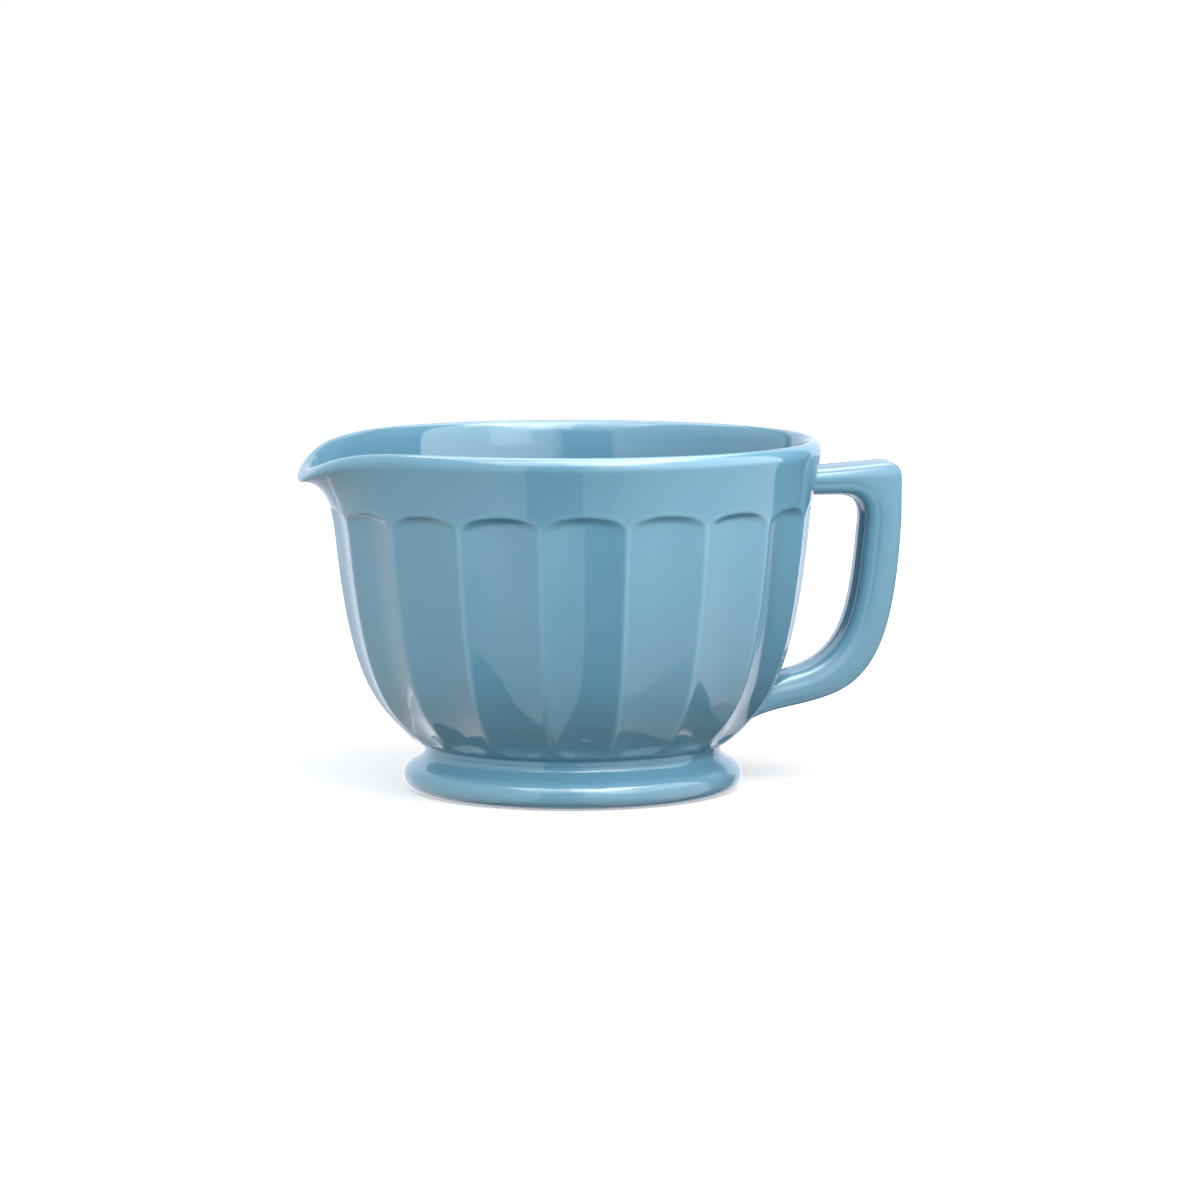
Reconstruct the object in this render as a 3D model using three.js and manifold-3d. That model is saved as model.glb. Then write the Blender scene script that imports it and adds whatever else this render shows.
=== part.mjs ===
// A footed batter bowl in pressed opaque glass: a fluted body with a pouring lip, a pedestal foot and a
// D-shaped handle. Millimetres, +Z up. The table is z = 0, the lip points to -X and the handle to +X.
import * as THREE from "three";
import { mergeVertices } from "three/addons/utils/BufferGeometryUtils.js";
import Module from "manifold-3d";

const wasm = await Module();
wasm.setup();

// Rim and wall of the body
const RIM_DIAMETER = 190;
const RIM_HEIGHT = 133.6;
const RIM_WALL = 5;
const SHOULDER_DIAMETER = 183.2;
const SHOULDER_DROP = 25.6; // from the rim down to where the plain band meets the fluted wall
const BODY_WALL = 6; // at the ridges, measured square to the wall
const FLOOR_THICKNESS = 5;
const BELLY_LOW_PULL = new THREE.Vector2(21, 16.5); // control point of the wall curve, from the waist
const BELLY_HIGH_PULL = new THREE.Vector2(-5.8, -65.8); // control point of the wall curve, from the shoulder

// Flutes
const FLUTE_COUNT = 18;
const FLUTE_DEPTH = 2.6;
const FLUTE_STEP = 3.2; // height of the shoulder under each arch
const FLUTE_RUNOUT = 9; // height over which a flute fades in above the waist
const ARCH_DROP = 21.5; // from the rim down to the top of the arches
const ARCH_RISE = 5.2;
const FLUTE_FOOT_RISE = 6.2; // from the waist up to the lower ends of the ridges
const FLUTE_FOOT_SAG = 3; // how far the flutes' middles reach below the ridges' ends

// Pouring lip
const LIP_PROJECTION = 11.6;
const LIP_DIP = 10.6;
const LIP_TAIL = 36; // height of wall below the rim that the lip draws outwards
const LIP_HOOK = 0.55; // how much of the reach comes from the last turn of the lip, and not from the wall
const LIP_SPREAD_POWER = 2; // how late the wall under the lip starts to lean out
const LIP_HOOK_POWER = 8; // how late the last turn of the lip starts
const LIP_TIP_ANGLE = THREE.MathUtils.degToRad(4); // rounding of the tip, seen from above
const LIP_DIP_ANGLE = THREE.MathUtils.degToRad(8.5); // width of the dip, seen from the axis

// Waist and pedestal foot
const WAIST_DIAMETER = 113.4;
const WAIST_HEIGHT = 15.3;
const FOOT_DIAMETER = 130;
const FOOT_EDGE_RADIUS = 2.5;
const FOOT_NECK_PULL = 3.5; // length of the upright start of the foot's curve under the waist
const FOOT_TOE_PULL = 8.5; // length of the upright end of the foot's curve above its edge
const RING_WIDTH = 6.5; // flat ring that rests on the table
const RECESS_DEPTH = 8.5;
const RECESS_DRAFT = 6; // how much narrower the recess is at its roof

// Handle
const HANDLE_PROJECTION = 37.5; // from the shoulder outwards
const HANDLE_WIDTH = 20;
const HANDLE_EDGE_RADIUS = 4.5;
const HANDLE_DROP = 11.4; // from the rim down to the top of the handle
const HANDLE_ARM = 12.2; // height of the upper arm at the grip
const HANDLE_ARM_TAPER = 1.5; // how much lower the top of the arm is at the wall
const HANDLE_GRIP = 15.2; // thickness of the grip, from the finger gap outwards
const HANDLE_CORNER = 6.5; // outer corner between the arm and the grip
const HANDLE_INNER_CORNER = 9;
const HANDLE_STRAIGHT = 20.7; // height of the upright stretch of the grip's outer face
const HANDLE_TAIL_HEIGHT = 32.5; // underside of the lower arm above the table, at the bend
const HANDLE_TAIL_RUN = 28.5; // from the grip's outer face inwards to the bend
const HANDLE_TAIL_FOOT = 23.8; // height at which the underside meets the wall
const HANDLE_CROTCH = 41.5; // height at which the finger gap's edge meets the wall
const GRIP_OUTER_PULL = new THREE.Vector2(-2.2, -38.5); // control points of the grip's two faces
const TAIL_OUTER_PULL = new THREE.Vector2(20.8, 7.1);
const TAIL_INNER_PULL = new THREE.Vector2(25, 5.3);
const GRIP_INNER_PULL = new THREE.Vector2(-3.4, -36.5);
const CROTCH_FILLET = 4.6;
const ROOT_SINK = 5; // how deep the raw ends reach into the wall before they are cut to it
const BOND_GAP = 0.3;

// Fineness of the faceted surfaces
const STEPS_PER_FLUTE = 6;
const FLUTE_ROWS = 9;
const BAND_ROWS = 4;
const LIP_ROWS = 4;
const INSIDE_ROWS = 8;
const FOOT_SEGMENTS = 72;
const FOOT_ROWS = 8;
const EDGE_ROWS = 3;
const OUTLINE_STEPS = 6;
const HALVINGS = 30; // of the search for the wall at a height

// Glass of every piece
const GLASS_COLOUR = 0x6fa6bd;
const GLASS_ROUGHNESS = 0.08;

// Levels and radii that several pieces share
const rimRadius = RIM_DIAMETER / 2;
const rimCentre = RIM_HEIGHT - RIM_WALL / 2;
const waist = new THREE.Vector2(WAIST_DIAMETER / 2, WAIST_HEIGHT);
const shoulder = new THREE.Vector2(SHOULDER_DIAMETER / 2, RIM_HEIGHT - SHOULDER_DROP);
const lipReach = rimRadius + LIP_PROJECTION;
const handleReach = shoulder.x + HANDLE_PROJECTION;
const wallCurve = new THREE.CubicBezierCurve(
  waist,
  waist.clone().add(BELLY_LOW_PULL),
  shoulder.clone().add(BELLY_HIGH_PULL),
  shoulder,
);

// Radius of the ridges and of the plain band at a height
function wallRadius(height) {
  if (height >= shoulder.y) {
    const share = (height - shoulder.y) / (rimCentre - shoulder.y);
    return THREE.MathUtils.lerp(shoulder.x, rimRadius, share);
  }
  let low = 0;
  let high = 1;
  for (let i = 0; i < HALVINGS; i++) {
    const middle = (low + high) / 2;
    if (wallCurve.getPoint(middle).y < height) low = middle;
    else high = middle;
  }
  return wallCurve.getPoint(low).x;
}

// Place across a flute at an angle round the axis: 0 at its middle, 1 at the ridges beside it
function acrossFlute(angle) {
  const turns = (angle * FLUTE_COUNT) / (2 * Math.PI);
  return 2 * Math.abs(turns - Math.round(turns));
}

function archHeight(across) {
  return RIM_HEIGHT - ARCH_DROP - ARCH_RISE * (1 - Math.sqrt(Math.max(0, 1 - across * across)));
}

function fluteFootHeight(across) {
  return WAIST_HEIGHT + FLUTE_FOOT_RISE - FLUTE_FOOT_SAG * (1 - across * across);
}

// A row of the fluted wall, at a share of the height between the foot of the flutes and their arches
function fluteRow(share) {
  return (angle) => {
    const across = acrossFlute(angle);
    const bottom = fluteFootHeight(across);
    const height = THREE.MathUtils.lerp(bottom, archHeight(across), share);
    const fadeIn = THREE.MathUtils.smoothstep(height - bottom, 0, FLUTE_RUNOUT);
    const depth = share < 1 ? FLUTE_DEPTH * (1 - across * across) * fadeIn : 0;
    return [wallRadius(height) - depth, height];
  };
}

// The lip: seen from above, straight lines from a rounded tip touch the rim's circle. Seen from the side, it
// dips.
function pour(angle, radius, height) {
  const turn = Math.abs(Math.atan2(Math.sin(angle - Math.PI), Math.cos(angle - Math.PI)));
  const rise = THREE.MathUtils.clamp((height - RIM_HEIGHT + LIP_TAIL) / (LIP_TAIL - RIM_WALL / 2), 0, 1);
  const touch = Math.acos(rimRadius / lipReach) + LIP_TIP_ANGLE;
  const rounded = Math.min(touch, Math.hypot(turn, LIP_TIP_ANGLE));
  const reach = rimRadius / Math.cos(touch - rounded) - rimRadius;
  const dip = LIP_DIP / Math.cosh(turn / LIP_DIP_ANGLE);
  const flare = THREE.MathUtils.lerp(rise ** LIP_SPREAD_POWER, rise ** LIP_HOOK_POWER, LIP_HOOK);
  return [radius + reach * flare, height - dip * rise];
}

// A row that is a plain circle before the lip is drawn out of it
function ring(radius, height) {
  return () => [radius, height];
}

// Rows of the outside of the body, from the waist to where the round lip starts
function outsideRows() {
  const rows = [ring(waist.x, waist.y)];
  const span = archHeight(0) - fluteFootHeight(0);
  const underArch = 1 - FLUTE_STEP / span;
  for (let i = 0; i <= FLUTE_ROWS; i++) rows.push(fluteRow((underArch * i) / FLUTE_ROWS));
  rows.push(fluteRow(1));
  for (let i = 1; i < BAND_ROWS; i++) {
    rows.push((angle) => {
      const height = THREE.MathUtils.lerp(archHeight(acrossFlute(angle)), rimCentre, i / BAND_ROWS);
      return [wallRadius(height), height];
    });
  }
  return rows;
}

// Rows over the full-round lip and down the smooth inside to the floor
function insideRows() {
  const rows = [];
  for (let i = 0; i <= LIP_ROWS; i++) {
    const swing = (Math.PI * i) / LIP_ROWS;
    const middle = rimRadius - RIM_WALL / 2;
    rows.push(ring(middle + (RIM_WALL / 2) * Math.cos(swing), rimCentre + (RIM_WALL / 2) * Math.sin(swing)));
  }
  for (let i = INSIDE_ROWS; i >= 0; i--) {
    const point = wallCurve.getPoint(i / INSIDE_ROWS);
    const along = wallCurve.getTangent(i / INSIDE_ROWS);
    const inner = new THREE.Vector2(point.x - along.y * BODY_WALL, point.y + along.x * BODY_WALL);
    if (i === INSIDE_ROWS) {
      const entry = (inner.y + rimCentre) / 2;
      rows.push(ring((inner.x + rimRadius - RIM_WALL) / 2, entry));
    }
    rows.push(ring(inner.x, inner.y));
  }
  return rows;
}

// Turns rows into a closed surface round the axis, from a point on the axis to another
function turned(start, rows, end) {
  const nominal = rows.map((row) => new THREE.Vector2(...row(0)));
  const profile = [new THREE.Vector2(0, start), ...nominal, new THREE.Vector2(0, end)];
  const geometry = new THREE.LatheGeometry(profile, FLUTE_COUNT * STEPS_PER_FLUTE).rotateX(Math.PI / 2);
  const position = geometry.attributes.position;
  for (let i = 0; i < position.count; i++) {
    const row = rows[(i % profile.length) - 1];
    if (!row) continue;
    const angle = Math.atan2(position.getY(i), position.getX(i));
    const [radius, height] = pour(angle, ...row(angle));
    position.setXYZ(i, radius * Math.cos(angle), radius * Math.sin(angle), height);
  }
  return geometry;
}

function bowlGeometry() {
  return turned(WAIST_HEIGHT, [...outsideRows(), ...insideRows()], WAIST_HEIGHT + FLOOR_THICKNESS);
}

// The body's outside filled up to the rim and grown by the bond gap, to cut the handle's roots with
function bowlEnvelope() {
  const rows = [...outsideRows(), ring(rimRadius, rimCentre), ring(rimRadius, RIM_HEIGHT)];
  const grown = rows.map((row) => (angle) => {
    const [radius, height] = row(angle);
    return [radius + BOND_GAP, height];
  });
  return turned(WAIST_HEIGHT, grown, RIM_HEIGHT);
}

function footGeometry() {
  const edge = new THREE.Vector2(FOOT_DIAMETER / 2, FOOT_EDGE_RADIUS);
  const ringOutside = edge.x - FOOT_EDGE_RADIUS;
  const ringInside = ringOutside - RING_WIDTH;
  const profile = [
    new THREE.Vector2(0, RECESS_DEPTH),
    new THREE.Vector2(ringInside - RECESS_DRAFT, RECESS_DEPTH),
    new THREE.Vector2(ringInside, 0),
  ];
  for (let i = 0; i < EDGE_ROWS; i++) {
    const swing = (Math.PI / 2) * (i / EDGE_ROWS - 1);
    const point = new THREE.Vector2(Math.cos(swing), Math.sin(swing)).multiplyScalar(FOOT_EDGE_RADIUS);
    profile.push(point.add(new THREE.Vector2(ringOutside, FOOT_EDGE_RADIUS)));
  }
  const sweep = new THREE.CubicBezierCurve(
    edge,
    new THREE.Vector2(edge.x, edge.y + FOOT_TOE_PULL),
    new THREE.Vector2(waist.x, waist.y - FOOT_NECK_PULL),
    waist,
  );
  profile.push(...sweep.getPoints(FOOT_ROWS), new THREE.Vector2(0, WAIST_HEIGHT));
  return new THREE.LatheGeometry(profile, FOOT_SEGMENTS).rotateX(Math.PI / 2);
}

// Side outline of the handle: x is the distance from the bowl's axis, y the height. It starts inside the wall
// at the upper root, follows the outer face down to the lower root, and comes back along the finger gap.
function handleOutline() {
  const top = RIM_HEIGHT - HANDLE_DROP;
  const armUnderside = top - HANDLE_ARM;
  const upperRoot = wallRadius(armUnderside) - ROOT_SINK;
  const outerTop = new THREE.Vector2(handleReach, top - HANDLE_STRAIGHT);
  const outerBend = new THREE.Vector2(handleReach - HANDLE_TAIL_RUN, HANDLE_TAIL_HEIGHT);
  const crotch = new THREE.Vector2(wallRadius(HANDLE_CROTCH) + CROTCH_FILLET, HANDLE_CROTCH);
  const innerTop = new THREE.Vector2(handleReach - HANDLE_GRIP, armUnderside - HANDLE_INNER_CORNER);
  const footRoot = wallRadius(HANDLE_TAIL_FOOT) - ROOT_SINK;
  const crotchRoot = wallRadius(HANDLE_CROTCH) - ROOT_SINK;
  const outline = new THREE.Shape();
  outline.moveTo(upperRoot, top - HANDLE_ARM_TAPER);
  outline.lineTo(handleReach - HANDLE_CORNER, top);
  outline.quadraticCurveTo(handleReach, top, handleReach, top - HANDLE_CORNER);
  outline.lineTo(outerTop.x, outerTop.y);
  const down = outerTop.clone().add(GRIP_OUTER_PULL);
  const out = outerBend.clone().add(TAIL_OUTER_PULL);
  outline.bezierCurveTo(down.x, down.y, out.x, out.y, outerBend.x, outerBend.y);
  outline.lineTo(footRoot, HANDLE_TAIL_FOOT);
  outline.lineTo(crotchRoot, HANDLE_CROTCH - CROTCH_FILLET);
  outline.lineTo(crotch.x, crotch.y);
  const forward = crotch.clone().add(TAIL_INNER_PULL);
  const back = innerTop.clone().add(GRIP_INNER_PULL);
  outline.bezierCurveTo(forward.x, forward.y, back.x, back.y, innerTop.x, innerTop.y);
  outline.quadraticCurveTo(innerTop.x, armUnderside, innerTop.x - HANDLE_INNER_CORNER, armUnderside);
  outline.lineTo(upperRoot, armUnderside);
  return outline;
}

// A closed geometry as a solid that can be joined and cut
function solidOf(geometry) {
  const bare = geometry.clone();
  bare.deleteAttribute("normal");
  bare.deleteAttribute("uv");
  const merged = mergeVertices(bare);
  const mesh = new wasm.Mesh({
    numProp: 3,
    vertProperties: merged.attributes.position.array,
    triVerts: new Uint32Array(merged.index.array),
  });
  return new wasm.Manifold(mesh);
}

function geometryOf(solid) {
  const mesh = solid.getMesh();
  const geometry = new THREE.BufferGeometry();
  geometry.setAttribute("position", new THREE.BufferAttribute(mesh.vertProperties, mesh.numProp));
  geometry.setIndex(new THREE.BufferAttribute(mesh.triVerts, 1));
  geometry.computeVertexNormals();
  return geometry;
}

// The outline given its width and rounded edges, with both roots cut to the wall of the body
function handleGeometry() {
  const blank = new THREE.ExtrudeGeometry(handleOutline(), {
    depth: HANDLE_WIDTH - 2 * HANDLE_EDGE_RADIUS,
    bevelThickness: HANDLE_EDGE_RADIUS,
    bevelSize: HANDLE_EDGE_RADIUS,
    bevelOffset: -HANDLE_EDGE_RADIUS,
    bevelSegments: EDGE_ROWS,
    curveSegments: OUTLINE_STEPS,
  });
  blank.rotateX(Math.PI / 2).translate(0, HANDLE_WIDTH / 2 - HANDLE_EDGE_RADIUS, 0);
  return geometryOf(solidOf(blank).subtract(solidOf(bowlEnvelope())));
}

function piece(name, geometry) {
  const look = { color: GLASS_COLOUR, roughness: GLASS_ROUGHNESS, metalness: 0 };
  const mesh = new THREE.Mesh(geometry, new THREE.MeshStandardMaterial(look));
  mesh.name = name;
  return mesh;
}

// The vessel is built round its own axis, and then moved so that the origin is under the middle of its box
const vessel = new THREE.Group();
vessel.add(piece("bowl", bowlGeometry()));
vessel.add(piece("pedestal_foot", footGeometry()));
vessel.add(piece("handle", handleGeometry()));
vessel.position.x = (lipReach - handleReach) / 2;

const part = new THREE.Group();
part.add(vessel);
export default part;
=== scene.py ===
"""Looks of a footed batter bowl in opaque blue pressed glass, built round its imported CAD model.

The vessel's sizes are millimetres and the studio's are metres, and fields that are angles hold degrees.
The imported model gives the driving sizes. Round the bowl's axis, angle 0 is the handle and half a turn is
the pouring lip.
"""
import logging
import math
from dataclasses import dataclass, field
from enum import Enum

import bpy
import numpy as np
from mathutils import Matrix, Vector


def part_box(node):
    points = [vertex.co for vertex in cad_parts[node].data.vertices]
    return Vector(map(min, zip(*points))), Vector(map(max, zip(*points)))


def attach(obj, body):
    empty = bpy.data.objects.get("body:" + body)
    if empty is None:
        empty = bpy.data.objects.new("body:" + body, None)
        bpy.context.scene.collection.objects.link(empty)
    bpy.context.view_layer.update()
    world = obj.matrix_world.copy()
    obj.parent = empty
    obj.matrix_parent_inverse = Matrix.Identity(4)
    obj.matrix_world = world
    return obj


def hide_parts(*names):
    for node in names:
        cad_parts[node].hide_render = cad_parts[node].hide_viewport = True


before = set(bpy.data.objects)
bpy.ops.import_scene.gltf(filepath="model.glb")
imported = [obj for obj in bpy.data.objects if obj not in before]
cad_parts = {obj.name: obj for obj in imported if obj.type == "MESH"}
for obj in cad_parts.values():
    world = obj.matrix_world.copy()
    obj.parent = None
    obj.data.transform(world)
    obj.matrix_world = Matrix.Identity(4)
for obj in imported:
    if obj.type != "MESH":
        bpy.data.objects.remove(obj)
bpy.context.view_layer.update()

Pair = tuple[float, float]
Triple = tuple[float, float, float]

LOG = logging.getLogger("batter_bowl")
MM = 0.001
BODY = "root"
# Mesh attribute of painted light: a paler colour that fakes highlights and light shining through the glass
PAINTED_LIGHT_ATTRIBUTE = "painted_edge_light"
WHITE = (1.0, 1.0, 1.0, 1.0)
# Number of points on a curve that other values are read off
DENSE = 600
# Runs of the panels beside the bowl, each from one point to another
RIGHT_RUN = ((0.20, -2.29), (0.295, 0.034))
LEFT_RUN = ((-0.66, 0.80), (-0.81, -2.05))


class Node(Enum):
    """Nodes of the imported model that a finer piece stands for."""

    BOWL = "bowl"
    FOOT = "pedestal_foot"
    HANDLE = "handle"


class Outline(Enum):
    """Outlines of a light's face, with the share of its bounding rectangle that it fills."""

    OBLONG = ("RECTANGLE", 1.0)
    ROUND = ("ELLIPSE", math.pi / 4)


class Grade(Enum):
    """Directions in which a light's face can grow brighter, by the axis of its own frame."""

    ACROSS = "X"
    UP = "Y"


class Slot(Enum):
    """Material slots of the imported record."""

    MILK_GLASS = "milk_glass"


def bezier(points: list, shares: np.ndarray) -> np.ndarray:
    """Points of a Bezier curve, or of a row of curves: repeated blends of neighbouring control points.

    Args:
        points: Control points from the start to the end, each one point or an array of points.
        shares: Places along the curve, from 0 to 1.

    Returns:
        One entry, shaped like a control point, for each share.
    """
    blend = [np.asarray(point, float)[None] for point in points]
    share = shares.reshape(-1, *[1] * (blend[0].ndim - 1))
    while len(blend) > 1:
        blend = [a * (1 - share) + b * share for a, b in zip(blend, blend[1:])]
    return blend[0]


def smooth(value: np.ndarray) -> np.ndarray:
    """S-shaped ramp from 0 to 1 over the same range."""
    held = np.clip(value, 0.0, 1.0)
    return held * held * (3 - 2 * held)


def ease_in(value: np.ndarray) -> np.ndarray:
    """Ramp from 0 to 1 that starts steep and ends level: one minus the square of what is left."""
    return 1 - (1 - np.clip(value, 0.0, 1.0)) ** 2


def rounded_start(value: np.ndarray, radius: float) -> np.ndarray:
    """Distance from an edge with the edge itself rounded off: a hyperbola that starts level at 0."""
    return np.sqrt(value * value + radius * radius) - radius


def evenly(path: np.ndarray, count: int) -> np.ndarray:
    """A polyline drawn again with a given number of points at even distances along it."""
    steps = np.linalg.norm(np.diff(path, axis=0), axis=1)
    along = np.concatenate([[0.0], np.cumsum(steps)])
    places = np.linspace(0, along[-1], count)
    return np.stack([np.interp(places, along, column) for column in path.T], axis=1)


def around(radius: np.ndarray, angle: np.ndarray, level: np.ndarray | float) -> np.ndarray:
    """Points at given radii and levels, turned round the axis by given angles."""
    return np.stack(np.broadcast_arrays(radius * np.cos(angle), radius * np.sin(angle), level), axis=-1)


def closed_sheet(grid: np.ndarray, poles: tuple[np.ndarray, np.ndarray]) -> tuple[np.ndarray, list]:
    """Vertices and faces of a sheet that closes round its columns and has a pole at both ends.

    Args:
        grid: Points as rows, columns and coordinates. Seen from outside, rows go up where columns go right.
        poles: The points that close the first and the last row.

    Returns:
        The vertices, and faces as lists of vertex numbers.
    """
    rows, columns, _ = grid.shape
    number = np.arange(rows * columns).reshape(rows, columns)
    onward = np.roll(number, -1, axis=1)
    quads = np.stack([number[:-1], onward[:-1], onward[1:], number[1:]], axis=-1).reshape(-1, 4)
    first = np.full(columns, rows * columns)
    last = first + 1
    start = np.stack([first, onward[0], number[0]], axis=-1)
    end = np.stack([last, number[-1], onward[-1]], axis=-1)
    vertices = np.concatenate([grid.reshape(-1, 3), np.stack(poles)])
    return vertices, [*quads.tolist(), *start.tolist(), *end.tolist()]


def grid_normals(grid: np.ndarray) -> tuple[np.ndarray, np.ndarray]:
    """Unit normals and unit directions up the columns of a grid that closes round its columns.

    The normal is the cross product of the step to the next column and the step to the next row.

    Args:
        grid: Points as rows, columns and coordinates.

    Returns:
        Normals and upward directions, shaped like the grid.
    """
    sideways = np.roll(grid, -1, axis=1) - np.roll(grid, 1, axis=1)
    upward = np.gradient(grid, axis=0, edge_order=2)
    normal = np.cross(sideways, upward)
    normal /= np.linalg.norm(normal, axis=-1, keepdims=True)
    upward = upward / np.linalg.norm(upward, axis=-1, keepdims=True)
    return normal, upward


def box_mm(node: Node) -> tuple[np.ndarray, np.ndarray]:
    """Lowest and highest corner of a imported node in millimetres."""
    low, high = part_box(node.value)
    return np.array(low) / MM, np.array(high) / MM


def axis_mm() -> float:
    """Place of the bowl's axis along X: the middle of the round foot."""
    low, high = box_mm(Node.FOOT)
    return float(low[0] + high[0]) / 2


def make_piece(
    name: str, vertices: np.ndarray, faces: list, node: Node, painted_shares: np.ndarray
) -> bpy.types.Object:
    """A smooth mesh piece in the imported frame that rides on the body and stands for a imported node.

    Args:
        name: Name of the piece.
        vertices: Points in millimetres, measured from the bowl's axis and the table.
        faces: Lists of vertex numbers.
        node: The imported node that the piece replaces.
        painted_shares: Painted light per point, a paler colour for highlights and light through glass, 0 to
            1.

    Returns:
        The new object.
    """
    placed = (vertices + np.array([axis_mm(), 0.0, 0.0])) * MM
    mesh = bpy.data.meshes.new(name)
    mesh.from_pydata(placed.tolist(), [], faces)
    mesh.validate()
    mesh.polygons.foreach_set("use_smooth", np.ones(len(mesh.polygons), bool))
    # Stores the painted light: how much of the paler colour each point gets
    mesh.attributes.new(PAINTED_LIGHT_ATTRIBUTE, "FLOAT", "POINT").data.foreach_set("value", painted_shares.astype(np.float32))
    mesh.update()
    piece = bpy.data.objects.new(name, mesh)
    bpy.context.scene.collection.objects.link(piece)
    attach(piece, BODY)
    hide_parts(node.value)
    LOG.info("%s: %d faces", name, len(faces))
    return piece


def wire(tree: bpy.types.NodeTree, node: bpy.types.Node, values: dict, sources: dict) -> bpy.types.Node:
    """Sets inputs of a shader node, links others to the outputs that feed them, and returns the node."""
    for socket, value in values.items():
        node.inputs[socket].default_value = value
    for socket, source in sources.items():
        tree.links.new(source, node.inputs[socket])
    return node


def add_node(
    tree: bpy.types.NodeTree,
    kind: str,
    values: dict | None = None,
    sources: dict | None = None,
    **options: str,
) -> bpy.types.Node:
    """Adds a shader node to a tree.

    Args:
        tree: The node tree.
        kind: Type of the node, without the prefix that all types share.
        values: What inputs are set to, by the input's name or number.
        sources: The outputs that feed inputs, by the input's name or number.
        options: Settings of the node itself, such as its operation.

    Returns:
        The new node.
    """
    node = tree.nodes.new(f"ShaderNode{kind}")
    for name, choice in options.items():
        setattr(node, name, choice)
    return wire(tree, node, values or {}, sources or {})


@dataclass(frozen=True)
class MilkGlass:
    """Glossy opaque glass with drawn-out streaks, a faint press ripple and a softly scattering body."""

    colour: Triple = (0.112, 0.278, 0.391)
    pale_streak: Triple = (0.138, 0.317, 0.430)
    # Paler colour painted where highlights and light through the glass are faked
    painted_light_colour: Triple = (0.175, 0.366, 0.483)
    streak_scale: float = 16.0
    streak_stretch: float = 0.35
    streak_detail: float = 5.0
    streak_distortion: float = 0.8
    roughness: Pair = (0.045, 0.075)
    index: float = 1.5
    scatter: float = 0.15
    scatter_reach: float = 3.0
    scatter_colour: Triple = (0.35, 0.75, 1.0)
    ripple_scale: float = 55.0
    ripple_detail: float = 2.0
    ripple_height: float = 0.012

    def material(self, name: str) -> bpy.types.Material:
        """Builds the node material.

        Args:
            name: Name of the material.

        Returns:
            The material, with its patterns on Object coordinates and its painted light on the mesh's
            attribute.
        """
        material = bpy.data.materials.new(name)
        material.use_nodes = True
        tree = material.node_tree
        place = add_node(tree, "TexCoord").outputs["Object"]
        stretch = {"Scale": (1.0, 1.0, self.streak_stretch)}
        drawn = add_node(tree, "Mapping", stretch, {"Vector": place}).outputs["Vector"]
        cloud = {
            "Scale": self.streak_scale,
            "Detail": self.streak_detail,
            "Distortion": self.streak_distortion,
        }
        streaks = add_node(tree, "TexNoise", cloud, {"Vector": drawn}).outputs["Fac"]
        shades = {"A": (*self.colour, 1.0), "B": (*self.pale_streak, 1.0)}
        tint = add_node(tree, "Mix", shades, {"Factor": streaks}, data_type="RGBA").outputs["Result"]
        # Painted light: the paler colour is mixed in by the mesh attribute, faking highlights and light
        # through the glass
        edge = add_node(tree, "Attribute", attribute_name=PAINTED_LIGHT_ATTRIBUTE).outputs["Fac"]
        pale = {"B": (*self.painted_light_colour, 1.0)}
        painted_light = add_node(tree, "Mix", pale, {"Factor": edge, "A": tint}, data_type="RGBA").outputs["Result"]
        span = {"To Min": self.roughness[0], "To Max": self.roughness[1]}
        polish = add_node(tree, "MapRange", span, {"Value": streaks}).outputs["Result"]
        waves = {"Scale": self.ripple_scale, "Detail": self.ripple_detail}
        ripple = add_node(tree, "TexNoise", waves, {"Vector": place}).outputs["Fac"]
        height = {"Distance": self.ripple_height * MM}
        bump = add_node(tree, "Bump", height, {"Height": ripple}).outputs["Normal"]
        body = {
            "IOR": self.index,
            "Subsurface Weight": self.scatter,
            "Subsurface Radius": self.scatter_colour,
            "Subsurface Scale": self.scatter_reach * MM,
        }
        surface = {"Base Color": painted_light, "Roughness": polish, "Normal": bump}
        wire(tree, tree.nodes["Principled BSDF"], body, surface)
        return material


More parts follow.
